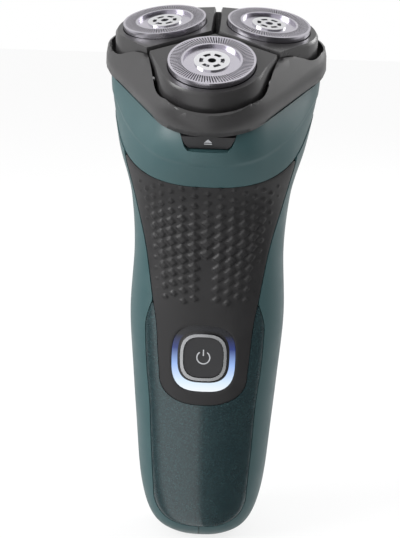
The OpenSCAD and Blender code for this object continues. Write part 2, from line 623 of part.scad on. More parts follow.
module guard_cap(i) color("#e8e9eb") on_unit(i) translate([0, 0, -1.1]) linear_extrude(0.75) difference() {
    circle(r = disc_r);
    circle(r = 1.1);
    for (k = [0 : 5]) rotate([0, 0, 60 * k + 30]) polygon([for (a = [-19 : 9.5 : 19]) 3.4 * [cos(a), sin(a)],
        for (a = [19 : -9.5 : -19]) 2.35 * [cos(a), sin(a)]]);
}
blade_in = 8.1;
blade_out = 10.9;
blade_t = 0.5;
blade_top = guard_t + 0.1;
disc_t = 0.6;
module cutter(i) color("#b7bac0") on_unit(i) {
    translate([0, 0, -blade_top - blade_h - disc_t]) linear_extrude(disc_t) difference() {
        circle(r = blade_out);
        circle(r = 4);
    }
    for (k = [0 : blade_count - 1]) rotate([0, 0, k * 360 / blade_count])
        translate([blade_in, 0, -blade_top - blade_h - disc_t]) rotate([-20, 0, 0])
            translate([0, -blade_t / 2, 0]) cube([blade_out - blade_in - 0.25, blade_t, blade_h + 0.4]);
}
hub_end = 7.5;
module cutter_hub(i) color("#2f6fb0") on_unit(i) difference() {
    union() {
        translate([0, 0, -hub_end]) cylinder(r = 4, h = hub_end - blade_top - blade_h + 0.6);
        translate([0, 0, -hub_end + 1.4]) cylinder(r = 5.4, h = hub_end - 1.4 - blade_top - blade_h - disc_t);
    }
    translate([-1.3, -2.3, -hub_end - past]) cube([2.6, 4.6, past + 3.1]);
}

// ---- trimmer ----
comb_y = back_depth - 3.2;
comb_t = 0.6;
tooth_h = 2.2;
comb_top = trimmer_z + trimmer_h;
module tooth_row(w, z, h) for (x = [-w / 2 : tooth_pitch : w / 2]) translate([x - 0.3, z]) square([0.6, h]);
module trimmer_body() color("#141517") difference() {
    union() {
        intersection() {
            form(0, 8, 12);
            union() {
                translate([-trimmer_w / 2, trimmer_y, pivot_z]) cube([trimmer_w, 30, trimmer_h - pivot_r - tooth_h]);
                translate([-trimmer_w / 2, pivot_y, pivot_z]) rotate([0, 90, 0]) cylinder(r = pivot_r, h = trimmer_w);
            }
        }
    }
    translate([-trimmer_w / 2 - past, pivot_y - 10, pivot_z - 10]) cube([trimmer_w + 2 * past, 10 - pivot_r + 0.9, 20]);
    translate([-trimmer_w / 2 - past, pivot_y, pivot_z]) rotate([0, 90, 0]) cylinder(r = pin_r + run_fit, h = trimmer_w + 2 * past);
    translate([-trimmer_w / 2 + 1, trimmer_y - past, comb_top - 10]) cube([trimmer_w - 2, comb_y + comb_t - trimmer_y + past, 20]);
}
module trimmer_comb() color("#c9ccd0") forwards(-comb_y - comb_t, -comb_y) {
    translate([-trimmer_w / 2 + 1, comb_top - 10]) square([trimmer_w - 2, 10 - tooth_h]);
    tooth_row(trimmer_w - 4, comb_top - tooth_h - 0.1, tooth_h);
}
module trimmer_blade() color("#dcdfe2") forwards(-comb_y + 0.1, -comb_y + 0.1 + comb_t) {
    translate([-trimmer_w / 2 + 3, comb_top - 9]) square([trimmer_w - 6, 9 - tooth_h]);
    tooth_row(trimmer_w - 7, comb_top - tooth_h - 0.1, tooth_h - 0.3);
}
module trimmer_pin() color("#b9bcc0") trimmer_axle();
module trimmer_slide() color("#141517") union() {
    difference() {
        intersection() {
            form(-1.6, 7, 9);
            translate([-slide_w / 2, 5, slide_z]) cube([slide_w, 40, slide_h]);
        }
        form(-0.35, 6.5, 9.5);
    }
    translate([-stem_w / 2, back_depth - wall - 1.6, slide_z + slide_h - stem_h - 1]) cube([stem_w, wall + 2.2, stem_h]);
}

rear_housing();
front_cover();
grip_panel();
front_panel();
collar();
button_bezel();
light_guide();
button_ring();
circuit_board();
power_switch();
battery_cell();
cell_cradle();
charging_socket();
contact_pins();
motor_can();
motor_clamp();
gear_plate();
deck();
deck_screws();
hinge_pin();
trimmer_pin();
power_button();
release_button();
motor_rotor();
sun_wheel();
head_frame();
tilt_pins();
trimmer_body();
trimmer_comb();
trimmer_blade();
trimmer_slide();
for (i = [1 : 3]) {
    drive_gear(i);
    spindle(i);
    holder(i);
    retainer(i);
    guard(i);
    guard_cap(i);
    cutter(i);
    cutter_hub(i);
}
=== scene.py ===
# Rotary electric shaver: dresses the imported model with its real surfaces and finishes.
# All sizes are in millimetres, and become metres where a mesh is made.
import bmesh
import bpy
import numpy as np
from mathutils import Matrix, Vector


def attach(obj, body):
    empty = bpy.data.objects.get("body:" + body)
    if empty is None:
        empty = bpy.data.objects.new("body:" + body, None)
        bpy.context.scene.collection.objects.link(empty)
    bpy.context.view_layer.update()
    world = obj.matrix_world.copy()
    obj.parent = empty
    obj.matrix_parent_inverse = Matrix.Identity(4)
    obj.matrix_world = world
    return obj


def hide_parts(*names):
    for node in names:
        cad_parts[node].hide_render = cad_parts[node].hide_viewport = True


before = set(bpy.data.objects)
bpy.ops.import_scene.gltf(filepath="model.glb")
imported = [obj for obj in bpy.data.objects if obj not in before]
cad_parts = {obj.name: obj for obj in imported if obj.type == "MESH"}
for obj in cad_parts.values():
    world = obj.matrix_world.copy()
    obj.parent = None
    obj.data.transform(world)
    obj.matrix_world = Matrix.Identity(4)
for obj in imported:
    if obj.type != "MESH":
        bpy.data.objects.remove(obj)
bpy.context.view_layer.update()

# ---------------------------------------------------------------------------------------------
# The view. The shaver stands upright on a white table and is seen from the front and a little
# above. HEAD is the point from which the three cutting units lean away.
HEAD = np.array([0.0, -5.0, 150.0])
HEAD_TILT = np.radians(22.0)
eye = Vector((0.01371, -0.33097, 0.15942))
ahead = Vector((-0.0476, 0.9724, -0.2283)).normalized()
across = ahead.cross(Vector((-0.0416, 0.2264, 0.9731))).normalized()
upright = across.cross(ahead)
camera = bpy.data.objects.new("camera", bpy.data.cameras.new("camera"))
bpy.context.scene.collection.objects.link(camera)
camera.matrix_world = Matrix((
    (across.x, upright.x, -ahead.x, eye.x), (across.y, upright.y, -ahead.y, eye.y),
    (across.z, upright.z, -ahead.z, eye.z), (0, 0, 0, 1)))
camera.data.sensor_fit = "VERTICAL"
camera.data.sensor_height = 36
camera.data.lens = 77.5
camera.data.clip_start = 0.01
bpy.context.scene.camera = camera
bpy.context.scene.view_settings.view_transform = "Standard"


# ---------------------------------------------------------------------------------------------
# The studio: a white table, a large soft lamp on the left, a weaker one on the right, and a room
# that is white behind the shaver, bright on the left and dark on the front right.
def node_in(tree, kind, **values):
    """One shader node, with its plain settings and the default values of its named sockets."""
    made = tree.nodes.new(kind)
    for key, value in values.items():
        if hasattr(made, key):
            setattr(made, key, value)
        else:
            made.inputs[key.replace("_", " ")].default_value = value
    return made


def arithmetic(tree, operation, first, second=0.0, third=None):
    """The output of one Math node whose inputs are sockets or numbers."""
    made = tree.nodes.new("ShaderNodeMath")
    made.operation = operation
    for socket, value in zip(made.inputs, (first, second, third)):
        if value is None:
            continue
        if isinstance(value, bpy.types.NodeSocket):
            tree.links.new(value, socket)
        else:
            socket.default_value = value
    return made.outputs[0]


def smooth_step(tree, value, low, high):
    """A mask that rises smoothly from 0 at low to 1 at high."""
    made = node_in(tree, "ShaderNodeMapRange", interpolation_type="SMOOTHSTEP", From_Min=low, From_Max=high)
    tree.links.new(value, made.inputs["Value"])
    return made.outputs[0]


room = bpy.data.worlds.new("studio")
bpy.context.scene.world = room
room.use_nodes = True
tree = room.node_tree
tree.nodes.clear()
place = node_in(tree, "ShaderNodeTexCoord")
axes = node_in(tree, "ShaderNodeSeparateXYZ")
tree.links.new(place.outputs["Generated"], axes.inputs[0])
azimuth = arithmetic(tree, "ARCTAN2", axes.outputs[0], arithmetic(tree, "MULTIPLY", axes.outputs[1], -1.0))
window = arithmetic(tree, "SUBTRACT", smooth_step(tree, azimuth, -1.25, -0.8), smooth_step(tree, azimuth, -0.07, -0.03))
sides = smooth_step(tree, arithmetic(tree, "ABSOLUTE", azimuth), 1.2, 1.9)
ceiling = smooth_step(tree, axes.outputs[2], 0.35, 0.75)
level = arithmetic(tree, "MULTIPLY_ADD", window, 0.95, 0.10)
level = arithmetic(tree, "MULTIPLY_ADD", sides, 0.75, level)
level = arithmetic(tree, "MAXIMUM", level, arithmetic(tree, "MULTIPLY", ceiling, 1.0))
path = node_in(tree, "ShaderNodeLightPath")
level = arithmetic(tree, "MAXIMUM", level, path.outputs["Is Camera Ray"])
light = node_in(tree, "ShaderNodeBackground", Color=(1, 1, 1, 1))
tree.links.new(level, light.inputs["Strength"])
tree.links.new(light.outputs[0], node_in(tree, "ShaderNodeOutputWorld").inputs[0])


def lamp(name, place, size, watts, colour=(1, 1, 1)):
    """A square area lamp that points at the middle of the shaver."""
    data = bpy.data.lights.new(name, "AREA")
    data.size, data.energy, data.color = size, watts, colour
    made = bpy.data.objects.new(name, data)
    bpy.context.scene.collection.objects.link(made)
    made.location = place
    made.rotation_euler = (Vector((0, 0, 0.09)) - Vector(place)).to_track_quat("-Z", "Y").to_euler()


lamp("key_lamp", (-0.62, -0.30, 0.42), 0.40, 5.0)
lamp("back_lamp", (0.55, 0.45, 0.45), 0.40, 2.5)

table = bpy.data.objects.new("table", bpy.data.meshes.new("table"))
bpy.context.scene.collection.objects.link(table)
table.data.from_pydata([(-3, -3, 0), (3, -3, 0), (3, 3, 0), (-3, 3, 0)], [], [(0, 1, 2, 3)])
finish = bpy.data.materials.new("white_table")
finish.use_nodes = True
tree = finish.node_tree
tree.nodes.clear()
path = node_in(tree, "ShaderNodeLightPath")
matt = node_in(tree, "ShaderNodeBsdfDiffuse", Color=(0.92, 0.92, 0.92, 1))
glow = node_in(tree, "ShaderNodeEmission", Color=(1, 1, 1, 1))
blend = node_in(tree, "ShaderNodeMixShader")
tree.links.new(arithmetic(tree, "MULTIPLY", path.outputs["Is Camera Ray"], 0.8), blend.inputs[0])
tree.links.new(matt.outputs[0], blend.inputs[1])
tree.links.new(glow.outputs[0], blend.inputs[2])
see_through = node_in(tree, "ShaderNodeMixShader")
tree.links.new(path.outputs["Is Glossy Ray"], see_through.inputs[0])
tree.links.new(blend.outputs[0], see_through.inputs[1])
tree.links.new(node_in(tree, "ShaderNodeBsdfTransparent").outputs[0], see_through.inputs[2])
tree.links.new(see_through.outputs[0], node_in(tree, "ShaderNodeOutputMaterial").inputs[0])
table.data.materials.append(finish)


# ---------------------------------------------------------------------------------------------
# The rear housing: one shell of satin teal polycarbonate that wraps the sides, the back and the
# foot. It is injection moulded, with a pocket for the trimmer and a well for the charger's plug.
SECTIONS = np.array([
    # middle y, middle z, tilt, half-width, depth to the front, depth to the back, triangle share
    [0, 0, 0, 6.102, 5.542, 6.528, 0], [0, 1.5, 0, 9.944, 8.476, 9.6, 0],
    [0, 4, 0, 13.56, 11.247, 12.864, 0], [0, 8, 0, 16.046, 13.203, 15.168, 0],
    [0, 14, 0, 17.854, 14.507, 16.704, 0], [0, 22, 0, 19.097, 15.322, 17.664, 0],
    [0, 36, 0, 20.227, 15.8925, 18.432, 0], [0, 52, 0, 21.47, 16.3, 19.008, 0],
    [0, 70, 0, 22.6, 16.463, 19.2, 0], [0, 89, 0, 21.696, 16.0555, 19.2, 0],
    [1, 103, 8, 22.6, 18.4, 18.6, 0], [1, 112, 16, 24.2, 21.2, 19.5, 0],
    [1, 121, 21, 26.6, 25.4, 20.2, 0.15], [-0.2, 129, 22, 28.3, 27.9, 21.7, 0.6],
    [0.544, 136.278, 22, 30.0, 32.2, 24.7, 1]])


def through(a, b, c, d, t):
    """Cubic through four neighbouring values: half of (2b + (c-a)t + (2a-5b+4c-d)t2 + (3b-a-3c+d)t3)."""
    return 0.5 * (2 * b + (c - a) * t + (2 * a - 5 * b + 4 * c - d) * t ** 2 + (3 * b - a - 3 * c + d) * t ** 3)


def along(values, s):
    """The value at place s of a list that a smooth curve joins; s may be an array."""
    values, s = np.asarray(values, float), np.asarray(s, float)
    i = np.clip(np.floor(s).astype(int), 0, len(values) - 2)
    t = (s - i)[..., None] if values.ndim > 1 else s - i
    last = len(values) - 1
    return through(values[np.maximum(i - 1, 0)], values[i], values[i + 1], values[np.minimum(i + 2, last)], t)


def three_sided(angle, flat, apex):
    """Radius of a triangle with round corners: flat to the middle of a side, apex to a corner."""
    ring, corner = 2 * (apex - flat), 2 * flat - apex
    turn = np.abs((np.degrees(angle) + 510) % 120 - 60)
    edge = np.degrees(np.arctan2(corner * np.sin(np.pi / 3), ring + corner / 2))
    turn_r = np.radians(turn)
    arc = ring * np.cos(turn_r) + np.sqrt(np.maximum(corner ** 2 - (ring * np.sin(turn_r)) ** 2, 0))
    side = (ring / 2 + corner) / np.cos(np.radians(60) - turn_r)
    return np.where(turn <= edge, arc, side)


def skin(s, angle, inset=0.0):
    """The housing's outer form. Each section is an ellipse raised to the power 0.8, blended by
    its triangle share with the head's rounded triangle, drawn in by inset and tilted about x."""
    q = np.moveaxis(along(SECTIONS, np.maximum(s, 0)), -1, 0)
    square = lambda v: np.sign(v) * np.abs(v) ** 0.8
    radius = three_sided(angle, 24.7, 32.2) - inset
    depth = np.where(np.sin(angle) < 0, q[4], q[5]) - inset
    x = (1 - q[6]) * (q[3] - inset) * square(np.cos(angle)) + q[6] * radius * np.cos(angle)
    y = (1 - q[6]) * depth * square(np.sin(angle)) + q[6] * radius * np.sin(angle)
    tilt = np.radians(q[2])
    return np.stack([x, q[0] + y * np.cos(tilt), q[1] + y * np.sin(tilt)], -1)


def to_head(point):
    """A point in the head's own frame, where z runs up through the middle of the three guards."""
    away = point - HEAD
    c, s = np.cos(HEAD_TILT), np.sin(HEAD_TILT)
    return np.stack([away[..., 0], away[..., 1] * c + away[..., 2] * s, -away[..., 1] * s + away[..., 2] * c], -1)


def from_head(point):
    """A point of the head's own frame, in the frame of the whole shaver."""
    point = np.asarray(point, float)
    c, s = np.cos(HEAD_TILT), np.sin(HEAD_TILT)
    turned = np.stack([point[..., 0], point[..., 1] * c - point[..., 2] * s, point[..., 1] * s + point[..., 2] * c], -1)
    return turned + HEAD


COLLAR_SLOPE = np.radians(38.9)
COLLAR_FRONT = (-20.5, 110.4)
COLLAR_DROP = 24.0
turn_point = to_head(np.array([0.0, *COLLAR_FRONT]))
COLLAR_TURN = turn_point[1] - (turn_point[2] + COLLAR_DROP) / np.tan(COLLAR_SLOPE - HEAD_TILT)


def above_collar_line(point):
    """Height above the collar's lower edge: a sloping plane at the front, the head's plane behind."""
    front = ((point[..., 2] - COLLAR_FRONT[1]) * np.cos(COLLAR_SLOPE)
             - (point[..., 1] - COLLAR_FRONT[0]) * np.sin(COLLAR_SLOPE))
    there = to_head(point)
    return np.maximum(front, np.minimum(there[..., 2] + COLLAR_DROP, there[..., 1] - COLLAR_TURN))


def round_end(w, z, end, power):
    """A quarter of a superellipse from (w, z) to (0, end)."""
    a = np.radians(np.linspace(0, 90, 40))
    return np.stack([w * np.cos(a) ** (2 / power), z - (z - end) * np.sin(a) ** (2 / power)], -1)


GRIP = np.array([[24.6, 126], [23.8, 117], [22.3, 110], [20.6, 103], [17.5, 91], [15, 76], [13.8, 69],
                 [13.1, 60], [12.6, 54]])
PANEL = np.array([[14.9, 75.8], [16.8, 69.5], [16.9, 64], [16.4, 55], [15.3, 44], [14.65, 31], [13.8, 17.5]])


def half_outline(points, end, power):
    """The right half of a panel's outline: a smooth curve down through the points, then a round end."""
    curve = along(points, np.linspace(0, len(points) - 1, 12 * len(points)))
    return np.concatenate([curve, round_end(*curve[-1], end, power)[1:]])


grip_half = half_outline(GRIP, 45.3, 2.3)
panel_half = half_outline(PANEL, 5.6, 2.5)


def width_at(half, z):
    """Half-width of an outline at height z, and 0 below its lower end."""
    return np.where((z < half[-1, 1]) | (z > half[0, 1]), 0, np.interp(z, half[::-1, 1], half[::-1, 0]))


def shell_width(z):
    """Half-width of the opening that the grip and the front panel fill together, with its seam."""
    width = np.maximum(width_at(grip_half, z), width_at(panel_half, z))
    return np.where(width > 0, width + 0.15, 0)


s_table = np.linspace(0, 14, 1401)
front_angles = np.radians(np.linspace(270, 359.9, 600))
table_points = skin(s_table[:, None], front_angles[None, :])
outside = table_points[..., 0] >= shell_width(table_points[..., 2])
edge_angle = np.degrees(front_angles[np.argmax(outside, 1)])


def first_level(offset):
    """For each whole degree, the place s at which the skin meets the collar's lower edge."""
    points = skin(s_table[:, None], np.radians(np.arange(361.0))[None, :])
    return s_table[np.argmax(above_collar_line(points) >= offset, 0)]


def grid_faces(rows, columns, closed=False):
    """Quads of a grid of points, row by row; a closed grid joins its last column to its first."""
    i, j = np.meshgrid(np.arange(rows - 1), np.arange(columns if closed else columns - 1), indexing="ij")
    k = (j + 1) % columns
    return np.stack([i * columns + j, i * columns + k, (i + 1) * columns + k, (i + 1) * columns + j], -1).reshape(-1, 4)


def new_mesh(name, points, faces, thickness=0.0, windows=(), crease=0.6):
    """A mesh from points in millimetres. Doubles are merged, each window (a test of a face's
    middle and the planes that bound it) is cut out, and a thickness gives a skin its inner side."""
    mesh = bpy.data.meshes.new(name)
    mesh.from_pydata(np.asarray(points, float).reshape(-1, 3).tolist(), [], np.asarray(faces).tolist())
    work = bmesh.new()
    work.from_mesh(mesh)
    bmesh.ops.remove_doubles(work, verts=work.verts[:], dist=0.004)
    bmesh.ops.dissolve_degenerate(work, edges=work.edges[:], dist=0.004)
    for near, inside, planes in windows:
        for place, normal in planes:
            close = [f for f in work.faces if near(f.calc_center_median())]
            geometry = {*close, *(e for f in close for e in f.edges), *(v for f in close for v in f.verts)}
            bmesh.ops.bisect_plane(work, geom=list(geometry), dist=0.001, plane_co=place, plane_no=normal)
        gone = [f for f in work.faces if near(f.calc_center_median()) and inside(f.calc_center_median())]
        bmesh.ops.delete(work, geom=gone, context="FACES")
    if thickness:
        work.normal_update()
        bmesh.ops.solidify(work, geom=work.faces[:], thickness=thickness)
    bmesh.ops.scale(work, vec=(0.001,) * 3, verts=work.verts[:])
    work.normal_update()
    work.to_mesh(mesh)
    work.free()
    mesh.shade_smooth()
    mesh.set_sharp_from_angle(angle=crease)
    return mesh


def dress(finish, *names):
    """Gives CAD nodes their finish."""
    for name in names:
        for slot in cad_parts[name].material_slots:
            slot.material = finish


def add_piece(name, mesh, finish, body, slot, *stands_for):
    """A new piece of the scene, riding on its body and standing for its CAD nodes."""
    made = bpy.data.objects.new(name, mesh)
    bpy.context.scene.collection.objects.link(made)
    mesh.materials.append(finish)
    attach(made, body)
    if stands_for:
        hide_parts(*stands_for)
        dress(finish, *stands_for)
    return made


def grain_group():
    """Node group: the fine grain of a moulded surface. Gives a slow mask for colour and gloss, a
    fine mask, and a normal from two sizes of noise."""
    group = bpy.data.node_groups.new("moulded_grain", "ShaderNodeTree")
    for label, default in (("Size", 2500.0), ("Depth", 0.1), ("Patch", 120.0)):
        socket = group.interface.new_socket(label, in_out="INPUT", socket_type="NodeSocketFloat")
        socket.default_value = default
    for label, kind in (("Patches", "NodeSocketFloat"), ("Fine", "NodeSocketFloat"), ("Normal", "NodeSocketVector")):
        group.interface.new_socket(label, in_out="OUTPUT", socket_type=kind)
    given, result = group.nodes.new("NodeGroupInput"), group.nodes.new("NodeGroupOutput")
    place = node_in(group, "ShaderNodeTexCoord")
    slow = node_in(group, "ShaderNodeTexNoise", Detail=4.0, Roughness=0.6)
    fine = node_in(group, "ShaderNodeTexNoise", Detail=2.0, Roughness=0.5)
    bump = node_in(group, "ShaderNodeBump", Distance=0.0001)
    link = group.links.new
    for noise, label in ((slow, "Patch"), (fine, "Size")):
        link(place.outputs["Object"], noise.inputs["Vector"])
        link(given.outputs[label], noise.inputs["Scale"])
    link(given.outputs["Depth"], bump.inputs["Strength"])
    link(fine.outputs["Fac"], bump.inputs["Height"])
    link(slow.outputs["Fac"], result.inputs["Patches"])
    link(fine.outputs["Fac"], result.inputs["Fine"])
    link(bump.outputs["Normal"], result.inputs["Normal"])
    return group


grain = grain_group()


def moulded(name, dark, pale, rough, size=2500.0, depth=0.1, patch=120.0, metal=0.0, coat=0.0, specular=0.5):
    """A moulded or metal finish: the colour runs from dark to pale over slow patches, the
    roughness varies by a sixth with them and the fine grain tilts the normal."""
    made = bpy.data.materials.new(name)
    made.use_nodes = True
    tree = made.node_tree
    shader = tree.nodes["Principled BSDF"]
    shader.inputs["Metallic"].default_value = metal
    shader.inputs["Coat Weight"].default_value = coat
    shader.inputs["Coat Roughness"].default_value = 0.08
    shader.inputs["Specular IOR Level"].default_value = specular
    texture = node_in(tree, "ShaderNodeGroup", node_tree=grain, Size=size, Depth=depth, Patch=patch)
    mix = node_in(tree, "ShaderNodeMix", data_type="RGBA")
    mix.inputs[6].default_value = (*dark, 1)
    mix.inputs[7].default_value = (*pale, 1)
    span = node_in(tree, "ShaderNodeMapRange", From_Min=0.35, From_Max=0.65, To_Min=rough * 0.85, To_Max=rough * 1.17)
    link = tree.links.new
    link(texture.outputs["Patches"], mix.inputs[0])
    link(mix.outputs[2], shader.inputs["Base Color"])
    link(texture.outputs["Patches"], span.inputs["Value"])
    link(span.outputs[0], shader.inputs["Roughness"])
    link(texture.outputs["Normal"], shader.inputs["Normal"])
    return made


teal = moulded("satin_teal", (0.030, 0.072, 0.078), (0.038, 0.088, 0.094), 0.42, depth=0.06)


def squircle(w, h, angle, power=3.0):
    """A rounded square: an ellipse raised to the power 2 over power."""
    raised = lambda v: np.sign(v) * np.abs(v) ** (2 / power)
    return w / 2 * raised(np.cos(angle)), h / 2 * raised(np.sin(angle))


# rows crowd together where the front panel's round end makes the edge turn quickly
levels = np.concatenate([np.linspace(0, 2.3, 26)[:-1], np.linspace(2.3, 3.3, 70)[:-1], np.linspace(3.3, 13, 140)]) / 13
around = np.linspace(0, 1, 161)[None, :]
collar_level = first_level(-0.12)
s_grid = np.repeat(levels[:, None] * 12.4, around.shape[1], 1)
for _ in range(30):
    start = np.interp(s_grid, s_table, edge_angle)
    angle_grid = start + around * (900 - 2 * start)
    s_grid = levels[:, None] * np.interp(angle_grid % 360, np.arange(361.0), collar_level)
shell = skin(s_grid, np.radians(angle_grid))
inward = np.linspace(0, 1, 6)[:-1, None, None]
mouth_x, mouth_y = squircle(7.6, 4.8, np.radians(angle_grid[0]))
mouth = np.stack([mouth_x, mouth_y, 0 * mouth_x], -1)[None]
shell = np.concatenate([mouth + (shell[:1] - mouth) * inward, shell])


def box_window(x, z_low, z_high):
    """A window in the back of a skin: |x| up to x and z between two heights."""
    near = lambda p: p.y > 5 and abs(p.x) < x + 4 and z_low - 4 < p.z < z_high + 4
    inside = lambda p: abs(p.x) < x and z_low < p.z < z_high
    planes = [((x, 0, 0), (1, 0, 0)), ((-x, 0, 0), (1, 0, 0)), ((0, 0, z_low), (0, 0, 1)), ((0, 0, z_high), (0, 0, 1))]
    return near, inside, planes


SKIN = 0.55
pocket = box_window(13.35, 81.65, 112.35)
stem_slot = box_window(2.85, 69.65, 77.35)
mesh = new_mesh("rear_shell", shell, grid_faces(*shell.shape[:2]), SKIN, (pocket, stem_slot))
add_piece("rear_shell", mesh, teal, "handle", "teal_shell", "rear_housing")


def lining(name, node, finish, body, slot, draw_in):
    """A merged copy of a CAD node that carries what lies behind a new skin; draw_in moves the
    points of its outer face under that skin."""
    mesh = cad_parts[node].data.copy()
    mesh.name = name
    work = bmesh.new()
    work.from_mesh(mesh)
    bmesh.ops.remove_doubles(work, verts=work.verts[:], dist=1e-6)
    points = np.array([v.co[:] for v in work.verts]) * 1000
    for vertex, place in zip(work.verts, draw_in(points) / 1000):
        vertex.co = place
    work.normal_update()
    work.to_mesh(mesh)
    work.free()
    mesh.materials.clear()
    mesh.shade_smooth()
    mesh.set_sharp_from_angle(angle=0.5)
    return add_piece(name, mesh, finish, body, slot, node)


skin_angles = np.radians(np.arange(0, 360, 2.0))
skin_levels = np.linspace(0, 14, 281)
skin_cloud = skin(skin_levels[:, None], skin_angles[None, :])
inner_cloud = skin(skin_levels[:, None], skin_angles[None, :], 0.62)


def under_skin(points):
    """Points within 0.5 mm of the outer form move to the same place on the form drawn in by 0.62."""
    moved = points.copy()
    cloud, drawn = skin_cloud.reshape(-1, 3), inner_cloud.reshape(-1, 3)
    for first in range(0, len(points), 400):
        part = points[first:first + 400]
        away = ((part[:, None] - cloud[None]) ** 2).sum(-1)
        close = away.argmin(1)
        near = away.min(1) < 1.0
        shift = drawn[close] - cloud[close]
        outward = ((part - drawn[close]) * -shift).sum(-1) > 0
        moved[first:first + 400] = np.where((near & outward)[:, None], part + shift, part)
    return moved


lining("rear_lining", "rear_housing", teal, "handle", "teal_shell", under_skin)


# ---------------------------------------------------------------------------------------------
# The collar: a separate teal ring that snaps over the top of the handle. The head closes on its
# rim, its lower band is a little set back, and the release button sits in a window at the front.
collar_bottom = first_level(0.0)
rise = np.concatenate([np.linspace(0, 0.45, 16)[:-1], np.linspace(0.45, 0.55, 6)[:-1], np.linspace(0.55, 1, 16)])
turn = np.arange(0, 360, 2.0)
low = np.interp(turn, np.arange(361.0), collar_bottom)
s_grid = low + rise[:, None] * (14 - low)
band_step = 0.22 * (1 - np.clip((rise - 0.45) / 0.06, 0, 1))[:, None]
ring = skin(s_grid, np.radians(turn)[None, :], band_step)
window_points = np.array([[-7.5, 3.5], [-7.5, 1.95], [-6.35, -1.0], [-5.4, -2.0],
                          [5.4, -2.0], [6.35, -1.0], [7.5, 1.95], [7.5, 3.5]]) + [0, -16.9]


def front_window(outline):
    """A window in the front of the collar, from a convex outline in the head's x and z."""
    corners = [Vector(from_head([x, -30, z])) for x, z in outline]
    forward = Vector(from_head([0, -1, 0]) - HEAD)
    planes = [(a, (b - a).cross(forward)) for a, b in zip(corners, corners[1:])]
    middle = sum(corners, Vector()) / len(corners)
    signs = [1 if (middle - a).dot(n) > 0 else -1 for a, n in planes]
    near = lambda p: p.y < -15 and abs(p.x) < 12
    inside = lambda p: all((p - a).dot(n) * k > 0 for (a, n), k in zip(planes, signs))
    return near, inside, planes


mesh = new_mesh("collar_ring", ring, grid_faces(*ring.shape[:2], closed=True), SKIN, (front_window(window_points),))
add_piece("collar_ring", mesh, teal, "handle", "teal_shell", "collar")
lining("collar_lining", "collar", teal, "handle", "teal_shell", under_skin)


# ---------------------------------------------------------------------------------------------
# The grip: soft black elastomer moulded over the front cover, with staggered raised diamonds that
# are largest in its middle and fade towards the edges. It runs down round the power button.
front_x = np.linspace(-30, 30, 241)
front_z = np.linspace(0, 130, 521)
front_cloud = skin(s_table[:, None], np.radians(np.linspace(180, 360, 721))[None, :])
by_row = np.stack([[np.interp(front_x, row[:, 0], row[:, k]) for row in front_cloud] for k in (1, 2)], -1)
front_table = np.stack([np.interp(front_z, by_row[:, i, 1], by_row[:, i, 0]) for i in range(len(front_x))], 1)


def front_y(x, z):
    """Depth of the housing's front at (x, z), between the four nearest places of a fine table."""
    i = np.clip((x - front_x[0]) / 0.25, 0, len(front_x) - 1.001)
    j = np.clip(z / 0.25, 0, len(front_z) - 1.001)
    a, b = i.astype(int), j.astype(int)
    u, v = i - a, j - b
    return ((front_table[b, a] * (1 - u) + front_table[b, a + 1] * u) * (1 - v)
            + (front_table[b + 1, a] * (1 - u) + front_table[b + 1, a + 1] * u) * v)


def front_normal(x, z):
    """Outward direction of the front at (x, z), from the depth's slopes over a millimetre."""
    slope_x = front_y(x + 0.5, z) - front_y(x - 0.5, z)
    slope_z = front_y(x, z + 0.5) - front_y(x, z - 0.5)
    away = np.stack([slope_x, -np.ones_like(x), slope_z], -1)
    return away / np.linalg.norm(away, axis=-1, keepdims=True)


def trimmed_grid(inside, border, pitch, x_span, z_span):
    """A square grid cut to an outline: cells with three corners inside stay, and their outer
    corners move to the nearest point of the border. Gives x, z, quads and a mask of the border."""
    xs, zs = np.arange(*x_span, pitch), np.arange(*z_span, pitch)
    x, z = np.meshgrid(xs, zs)
    kept = inside(x, z).astype(int)
    cells = kept[:-1, :-1] + kept[1:, :-1] + kept[:-1, 1:] + kept[1:, 1:] >= 3
    faces = grid_faces(len(zs), len(xs))[cells.ravel()]
    used = np.bincount(faces.ravel(), minlength=x.size)
    rim = (used > 0) & (used < 4)
    x, z = x.ravel().copy(), z.ravel().copy()
    here = np.stack([x[rim], z[rim]], -1)
    nearest = np.array([border[((border - p) ** 2).sum(1).argmin()] for p in here])
    x[rim], z[rim] = nearest[:, 0], nearest[:, 1]
    order = np.cumsum(used > 0) - 1
    return x[used > 0], z[used > 0], order[faces], rim[used > 0]


def dense(outline, closed=False, step=0.05):
    """Points a twentieth of a millimetre apart along an outline."""
    outline = np.concatenate([outline, outline[:1]]) if closed else outline
    run = np.concatenate([[0], np.cumsum(np.linalg.norm(np.diff(outline, axis=0), axis=1))])
    places = np.arange(0, run[-1], step)
    return np.stack([np.interp(places, run, outline[:, k]) for k in (0, 1)], -1)


WELL = (18.2, 19.7, 59.1)
ring_angles = np.linspace(0, 2 * np.pi, 400, endpoint=False)
well_outline = np.stack(squircle(WELL[0] + 0.3, WELL[1] + 0.3, ring_angles), -1) + [0, WELL[2]]


def in_well(x, z, grow=0.15):
    """Whether a point lies in the button's well."""
    return (np.abs(x) / (WELL[0] / 2 + grow)) ** 3 + (np.abs(z - WELL[2]) / (WELL[1] / 2 + grow)) ** 3 < 1


def below_collar(x, z):
    """Whether the front at (x, z) lies below the collar's lower edge."""
    return above_collar_line(np.stack([x, front_y(x, z), z], -1)) < -0.15


def both_sides(half):
    """Right half of an outline joined to its mirror image."""
    return np.concatenate([half, half[::-1] * [-1, 1]])


